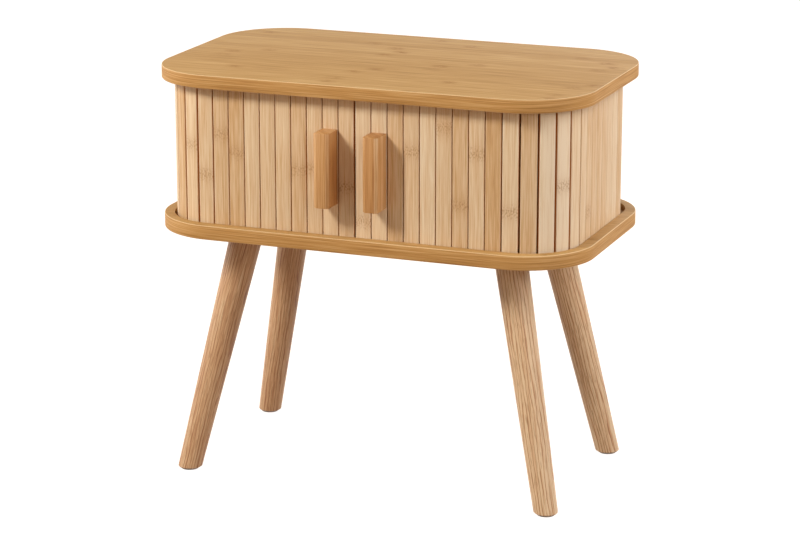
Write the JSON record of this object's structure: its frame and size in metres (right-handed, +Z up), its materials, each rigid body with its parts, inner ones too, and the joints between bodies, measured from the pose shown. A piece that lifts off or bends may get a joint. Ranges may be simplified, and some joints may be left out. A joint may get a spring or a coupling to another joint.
{
  "type": "nightstand",
  "caption": "Rounded bamboo nightstand on splayed tapered legs, with slatted tambour doors that slide round its corners by block handles.",
  "frame": {"origin": "on the floor, under the middle of the bounding box; the boards' middle lies 6.9 mm behind it, because the handles reach past the boards at the front", "axes": "+X to the right as seen from the front, +Y to the rear, +Z up; the doors and handles face -Y"},
  "size_m": [0.5, 0.3138, 0.465],
  "materials": {
    "bamboo_board": "satin lacquered laminated bamboo",
    "slat_bamboo": "satin lacquered bamboo slats on canvas",
    "handle_bamboo": "satin lacquered bamboo",
    "bamboo_panel": "satin lacquered laminated bamboo",
    "leg_wood": "satin lacquered solid wood",
    "pad_plastic": "moulded light grey plastic",
    "zinc_steel": "zinc plated"
  },
  "bodies": {
    "carcass": {"base_board": "bamboo_board", "top_board": "bamboo_board", "left_side_panel": "bamboo_panel", "right_side_panel": "bamboo_panel", "back_panel": "bamboo_panel", "leg_front_left": "leg_wood", "leg_bolt_front_left": "zinc_steel", "foot_pad_front_left": "pad_plastic", "leg_front_right": "leg_wood", "leg_bolt_front_right": "zinc_steel", "foot_pad_front_right": "pad_plastic", "leg_rear_left": "leg_wood", "leg_bolt_rear_left": "zinc_steel", "foot_pad_rear_left": "pad_plastic", "leg_rear_right": "leg_wood", "leg_bolt_rear_right": "zinc_steel", "foot_pad_rear_right": "pad_plastic"},
    "left_door_lead": {"left_door_lead_slats": "slat_bamboo", "left_door_handle": "handle_bamboo"},
    "left_door_slat_04": {"left_door_slat_04": "slat_bamboo"},
    "left_door_slat_05": {"left_door_slat_05": "slat_bamboo"},
    "left_door_slat_06": {"left_door_slat_06": "slat_bamboo"},
    "left_door_slat_07": {"left_door_slat_07": "slat_bamboo"},
    "left_door_slat_08": {"left_door_slat_08": "slat_bamboo"},
    "left_door_slat_09": {"left_door_slat_09": "slat_bamboo"},
    "left_door_slat_10": {"left_door_slat_10": "slat_bamboo"},
    "left_door_slat_11": {"left_door_slat_11": "slat_bamboo"},
    "left_door_slat_12": {"left_door_slat_12": "slat_bamboo"},
    "left_door_slat_13": {"left_door_slat_13": "slat_bamboo"},
    "left_door_slat_14": {"left_door_slat_14": "slat_bamboo"},
    "left_door_slat_15": {"left_door_slat_15": "slat_bamboo"},
    "left_door_slat_16": {"left_door_slat_16": "slat_bamboo"},
    "left_door_slat_17": {"left_door_slat_17": "slat_bamboo"},
    "left_door_slat_18": {"left_door_slat_18": "slat_bamboo"},
    "left_door_slat_19": {"left_door_slat_19": "slat_bamboo"},
    "left_door_slat_20": {"left_door_slat_20": "slat_bamboo"},
    "left_door_slat_21": {"left_door_slat_21": "slat_bamboo"},
    "left_door_slat_22": {"left_door_slat_22": "slat_bamboo"},
    "right_door_lead": {"right_door_lead_slats": "slat_bamboo", "right_door_handle": "handle_bamboo"},
    "right_door_slat_04": {"right_door_slat_04": "slat_bamboo"},
    "right_door_slat_05": {"right_door_slat_05": "slat_bamboo"},
    "right_door_slat_06": {"right_door_slat_06": "slat_bamboo"},
    "right_door_slat_07": {"right_door_slat_07": "slat_bamboo"},
    "right_door_slat_08": {"right_door_slat_08": "slat_bamboo"},
    "right_door_slat_09": {"right_door_slat_09": "slat_bamboo"},
    "right_door_slat_10": {"right_door_slat_10": "slat_bamboo"},
    "right_door_slat_11": {"right_door_slat_11": "slat_bamboo"},
    "right_door_slat_12": {"right_door_slat_12": "slat_bamboo"},
    "right_door_slat_13": {"right_door_slat_13": "slat_bamboo"},
    "right_door_slat_14": {"right_door_slat_14": "slat_bamboo"},
    "right_door_slat_15": {"right_door_slat_15": "slat_bamboo"},
    "right_door_slat_16": {"right_door_slat_16": "slat_bamboo"},
    "right_door_slat_17": {"right_door_slat_17": "slat_bamboo"},
    "right_door_slat_18": {"right_door_slat_18": "slat_bamboo"},
    "right_door_slat_19": {"right_door_slat_19": "slat_bamboo"},
    "right_door_slat_20": {"right_door_slat_20": "slat_bamboo"},
    "right_door_slat_21": {"right_door_slat_21": "slat_bamboo"},
    "right_door_slat_22": {"right_door_slat_22": "slat_bamboo"}
  },
  "joints": [
    {"name": "left_door_slide", "type": "slide", "parent": "carcass", "child": "left_door_lead", "axis": [-1, 0, 0], "range_m": [0, 0.11069]},
    {"name": "left_door_slat_04_turn", "type": "hinge", "parent": "carcass", "child": "left_door_slat_04", "pos_m": [-0.11119, 1.07199, 0.3735], "axis": [0, 0, -1], "range_deg": [0, 5.3], "deforming": ["left_door_slat_04"]},
    {"name": "left_door_slat_05_turn", "type": "hinge", "parent": "carcass", "child": "left_door_slat_05", "pos_m": [-0.12532, 0.15469, 0.3735], "axis": [0, 0, -1], "range_deg": [0, 22.53], "deforming": ["left_door_slat_05"]},
    {"name": "left_door_slat_06_turn", "type": "hinge", "parent": "carcass", "child": "left_door_slat_06", "pos_m": [-0.13536, 0.02972, 0.3735], "axis": [0, 0, -1], "range_deg": [0, 40.22], "deforming": ["left_door_slat_06"]},
    {"name": "left_door_slat_07_turn", "type": "hinge", "parent": "carcass", "child": "left_door_slat_07", "pos_m": [-0.14491, -0.0187, 0.3735], "axis": [0, 0, -1], "range_deg": [0, 57.91], "deforming": ["left_door_slat_07"]},
    {"name": "left_door_slat_08_turn", "type": "hinge", "parent": "carcass", "child": "left_door_slat_08", "pos_m": [-0.15432, -0.04363, 0.3735], "axis": [0, 0, -1], "range_deg": [0, 75.59], "deforming": ["left_door_slat_08"]},
    {"name": "left_door_slat_09_turn", "type": "hinge", "parent": "carcass", "child": "left_door_slat_09", "pos_m": [-0.16174, -0.05491, 0.3735], "axis": [0, 0, -1], "range_deg": [0, 89.12], "deforming": ["left_door_slat_09"]},
    {"name": "left_door_slat_10_turn", "type": "hinge", "parent": "carcass", "child": "left_door_slat_10", "pos_m": [-0.15878, -0.05229, 0.3735], "axis": [0, 0, -1], "range_deg": [0, 84.7], "deforming": ["left_door_slat_10"]},
    {"name": "left_door_slat_11_turn", "type": "hinge", "parent": "carcass", "child": "left_door_slat_11", "pos_m": [-0.14089, -0.04312, 0.3735], "axis": [0, 0, -1], "range_deg": [0, 67.47], "deforming": ["left_door_slat_11"]},
    {"name": "left_door_slat_12_turn", "type": "hinge", "parent": "carcass", "child": "left_door_slat_12", "pos_m": [-0.10776, -0.03366, 0.3735], "axis": [0, 0, -1], "range_deg": [0, 49.79], "deforming": ["left_door_slat_12"]},
    {"name": "left_door_slat_13_turn", "type": "hinge", "parent": "carcass", "child": "left_door_slat_13", "pos_m": [-0.03689, -0.02396, 0.3735], "axis": [0, 0, -1], "range_deg": [0, 32.1], "deforming": ["left_door_slat_13"]},
    {"name": "left_door_slat_14_turn", "type": "hinge", "parent": "carcass", "child": "left_door_slat_14", "pos_m": [0.20719, -0.01316, 0.3735], "axis": [0, 0, -1], "range_deg": [0, 14.41], "deforming": ["left_door_slat_14"]},
    {"name": "left_door_slat_15_slide", "type": "slide", "parent": "carcass", "child": "left_door_slat_15", "axis": [-0.0013, 1, 0], "range_m": [0, 0.11069]},
    {"name": "left_door_slat_16_slide", "type": "slide", "parent": "carcass", "child": "left_door_slat_16", "axis": [0, 1, 0], "range_m": [0, 0.11069]},
    {"name": "left_door_slat_17_turn", "type": "hinge", "parent": "carcass", "child": "left_door_slat_17", "pos_m": [0.45828, 0.02261, 0.3735], "axis": [0, 0, -1], "range_deg": [0, 9.19], "deforming": ["left_door_slat_17"]},
    {"name": "left_door_slat_18_turn", "type": "hinge", "parent": "carcass", "child": "left_door_slat_18", "pos_m": [0.00194, 0.03478, 0.3735], "axis": [0, 0, -1], "range_deg": [0, 26.87], "deforming": ["left_door_slat_18"]},
    {"name": "left_door_slat_19_turn", "type": "hinge", "parent": "carcass", "child": "left_door_slat_19", "pos_m": [-0.0927, 0.04463, 0.3735], "axis": [0, 0, -1], "range_deg": [0, 44.56], "deforming": ["left_door_slat_19"]},
    {"name": "left_door_slat_20_turn", "type": "hinge", "parent": "carcass", "child": "left_door_slat_20", "pos_m": [-0.13316, 0.05413, 0.3735], "axis": [0, 0, -1], "range_deg": [0, 62.25], "deforming": ["left_door_slat_20"]},
    {"name": "left_door_slat_21_turn", "type": "hinge", "parent": "carcass", "child": "left_door_slat_21", "pos_m": [-0.15476, 0.06352, 0.3735], "axis": [0, 0, -1], "range_deg": [0, 79.93], "deforming": ["left_door_slat_21"]},
    {"name": "left_door_slat_22_turn", "type": "hinge", "parent": "carcass", "child": "left_door_slat_22", "pos_m": [-0.16227, 0.06917, 0.3735], "axis": [0, 0, -1], "range_deg": [0, 89.96], "deforming": ["left_door_slat_22"]},
    {"name": "right_door_slide", "type": "slide", "parent": "carcass", "child": "right_door_lead", "axis": [1, 0, 0], "range_m": [0, 0.11069]},
    {"name": "right_door_slat_04_turn", "type": "hinge", "parent": "carcass", "child": "right_door_slat_04", "pos_m": [0.11119, 1.07199, 0.3735], "axis": [0, 0, 1], "range_deg": [0, 5.3], "deforming": ["right_door_slat_04"]},
    {"name": "right_door_slat_05_turn", "type": "hinge", "parent": "carcass", "child": "right_door_slat_05", "pos_m": [0.12532, 0.15469, 0.3735], "axis": [0, 0, 1], "range_deg": [0, 22.53], "deforming": ["right_door_slat_05"]},
    {"name": "right_door_slat_06_turn", "type": "hinge", "parent": "carcass", "child": "right_door_slat_06", "pos_m": [0.13536, 0.02972, 0.3735], "axis": [0, 0, 1], "range_deg": [0, 40.22], "deforming": ["right_door_slat_06"]},
    {"name": "right_door_slat_07_turn", "type": "hinge", "parent": "carcass", "child": "right_door_slat_07", "pos_m": [0.14491, -0.0187, 0.3735], "axis": [0, 0, 1], "range_deg": [0, 57.91], "deforming": ["right_door_slat_07"]},
    {"name": "right_door_slat_08_turn", "type": "hinge", "parent": "carcass", "child": "right_door_slat_08", "pos_m": [0.15432, -0.04363, 0.3735], "axis": [0, 0, 1], "range_deg": [0, 75.59], "deforming": ["right_door_slat_08"]},
    {"name": "right_door_slat_09_turn", "type": "hinge", "parent": "carcass", "child": "right_door_slat_09", "pos_m": [0.16174, -0.05491, 0.3735], "axis": [0, 0, 1], "range_deg": [0, 89.12], "deforming": ["right_door_slat_09"]},
    {"name": "right_door_slat_10_turn", "type": "hinge", "parent": "carcass", "child": "right_door_slat_10", "pos_m": [0.15878, -0.05229, 0.3735], "axis": [0, 0, 1], "range_deg": [0, 84.7], "deforming": ["right_door_slat_10"]},
    {"name": "right_door_slat_11_turn", "type": "hinge", "parent": "carcass", "child": "right_door_slat_11", "pos_m": [0.14089, -0.04312, 0.3735], "axis": [0, 0, 1], "range_deg": [0, 67.47], "deforming": ["right_door_slat_11"]},
    {"name": "right_door_slat_12_turn", "type": "hinge", "parent": "carcass", "child": "right_door_slat_12", "pos_m": [0.10776, -0.03366, 0.3735], "axis": [0, 0, 1], "range_deg": [0, 49.79], "deforming": ["right_door_slat_12"]},
    {"name": "right_door_slat_13_turn", "type": "hinge", "parent": "carcass", "child": "right_door_slat_13", "pos_m": [0.03689, -0.02396, 0.3735], "axis": [0, 0, 1], "range_deg": [0, 32.1], "deforming": ["right_door_slat_13"]},
    {"name": "right_door_slat_14_turn", "type": "hinge", "parent": "carcass", "child": "right_door_slat_14", "pos_m": [-0.20719, -0.01316, 0.3735], "axis": [0, 0, 1], "range_deg": [0, 14.41], "deforming": ["right_door_slat_14"]},
    {"name": "right_door_slat_15_slide", "type": "slide", "parent": "carcass", "child": "right_door_slat_15", "axis": [0.0013, 1, 0], "range_m": [0, 0.11069]},
    {"name": "right_door_slat_16_slide", "type": "slide", "parent": "carcass", "child": "right_door_slat_16", "axis": [0, 1, 0], "range_m": [0, 0.11069]},
    {"name": "right_door_slat_17_turn", "type": "hinge", "parent": "carcass", "child": "right_door_slat_17", "pos_m": [-0.45828, 0.02261, 0.3735], "axis": [0, 0, 1], "range_deg": [0, 9.19], "deforming": ["right_door_slat_17"]},
    {"name": "right_door_slat_18_turn", "type": "hinge", "parent": "carcass", "child": "right_door_slat_18", "pos_m": [-0.00194, 0.03478, 0.3735], "axis": [0, 0, 1], "range_deg": [0, 26.87], "deforming": ["right_door_slat_18"]},
    {"name": "right_door_slat_19_turn", "type": "hinge", "parent": "carcass", "child": "right_door_slat_19", "pos_m": [0.0927, 0.04463, 0.3735], "axis": [0, 0, 1], "range_deg": [0, 44.56], "deforming": ["right_door_slat_19"]},
    {"name": "right_door_slat_20_turn", "type": "hinge", "parent": "carcass", "child": "right_door_slat_20", "pos_m": [0.13316, 0.05413, 0.3735], "axis": [0, 0, 1], "range_deg": [0, 62.25], "deforming": ["right_door_slat_20"]},
    {"name": "right_door_slat_21_turn", "type": "hinge", "parent": "carcass", "child": "right_door_slat_21", "pos_m": [0.15476, 0.06352, 0.3735], "axis": [0, 0, 1], "range_deg": [0, 79.93], "deforming": ["right_door_slat_21"]},
    {"name": "right_door_slat_22_turn", "type": "hinge", "parent": "carcass", "child": "right_door_slat_22", "pos_m": [0.16227, 0.06917, 0.3735], "axis": [0, 0, 1], "range_deg": [0, 89.96], "deforming": ["right_door_slat_22"]}
  ],
  "couplings": [
    {"joint": "left_door_slat_04_turn", "follows": "left_door_slide", "rad_per_m": 0.83567},
    {"joint": "left_door_slat_05_turn", "follows": "left_door_slide", "rad_per_m": 3.5527},
    {"joint": "left_door_slat_06_turn", "follows": "left_door_slide", "rad_per_m": 6.3415},
    {"joint": "left_door_slat_07_turn", "follows": "left_door_slide", "rad_per_m": 9.1304},
    {"joint": "left_door_slat_08_turn", "follows": "left_door_slide", "rad_per_m": 11.919},
    {"joint": "left_door_slat_09_turn", "follows": "left_door_slide", "rad_per_m": 14.053},
    {"joint": "left_door_slat_10_turn", "follows": "left_door_slide", "rad_per_m": 13.356},
    {"joint": "left_door_slat_11_turn", "follows": "left_door_slide", "rad_per_m": 10.639},
    {"joint": "left_door_slat_12_turn", "follows": "left_door_slide", "rad_per_m": 7.85},
    {"joint": "left_door_slat_13_turn", "follows": "left_door_slide", "rad_per_m": 5.0611},
    {"joint": "left_door_slat_14_turn", "follows": "left_door_slide", "rad_per_m": 2.2723},
    {"joint": "left_door_slat_15_slide", "follows": "left_door_slide", "ratio": 0.99999},
    {"joint": "left_door_slat_16_slide", "follows": "left_door_slide", "ratio": 1},
    {"joint": "left_door_slat_17_turn", "follows": "left_door_slide", "rad_per_m": 1.4483},
    {"joint": "left_door_slat_18_turn", "follows": "left_door_slide", "rad_per_m": 4.2371},
    {"joint": "left_door_slat_19_turn", "follows": "left_door_slide", "rad_per_m": 7.026},
    {"joint": "left_door_slat_20_turn", "follows": "left_door_slide", "rad_per_m": 9.8148},
    {"joint": "left_door_slat_21_turn", "follows": "left_door_slide", "rad_per_m": 12.604},
    {"joint": "left_door_slat_22_turn", "follows": "left_door_slide", "rad_per_m": 14.184},
    {"joint": "right_door_slat_04_turn", "follows": "right_door_slide", "rad_per_m": 0.83567},
    {"joint": "right_door_slat_05_turn", "follows": "right_door_slide", "rad_per_m": 3.5527},
    {"joint": "right_door_slat_06_turn", "follows": "right_door_slide", "rad_per_m": 6.3415},
    {"joint": "right_door_slat_07_turn", "follows": "right_door_slide", "rad_per_m": 9.1304},
    {"joint": "right_door_slat_08_turn", "follows": "right_door_slide", "rad_per_m": 11.919},
    {"joint": "right_door_slat_09_turn", "follows": "right_door_slide", "rad_per_m": 14.053},
    {"joint": "right_door_slat_10_turn", "follows": "right_door_slide", "rad_per_m": 13.356},
    {"joint": "right_door_slat_11_turn", "follows": "right_door_slide", "rad_per_m": 10.639},
    {"joint": "right_door_slat_12_turn", "follows": "right_door_slide", "rad_per_m": 7.85},
    {"joint": "right_door_slat_13_turn", "follows": "right_door_slide", "rad_per_m": 5.0611},
    {"joint": "right_door_slat_14_turn", "follows": "right_door_slide", "rad_per_m": 2.2723},
    {"joint": "right_door_slat_15_slide", "follows": "right_door_slide", "ratio": 0.99999},
    {"joint": "right_door_slat_16_slide", "follows": "right_door_slide", "ratio": 1},
    {"joint": "right_door_slat_17_turn", "follows": "right_door_slide", "rad_per_m": 1.4483},
    {"joint": "right_door_slat_18_turn", "follows": "right_door_slide", "rad_per_m": 4.2371},
    {"joint": "right_door_slat_19_turn", "follows": "right_door_slide", "rad_per_m": 7.026},
    {"joint": "right_door_slat_20_turn", "follows": "right_door_slide", "rad_per_m": 9.8148},
    {"joint": "right_door_slat_21_turn", "follows": "right_door_slide", "rad_per_m": 12.604},
    {"joint": "right_door_slat_22_turn", "follows": "right_door_slide", "rad_per_m": 14.184}
  ]
}
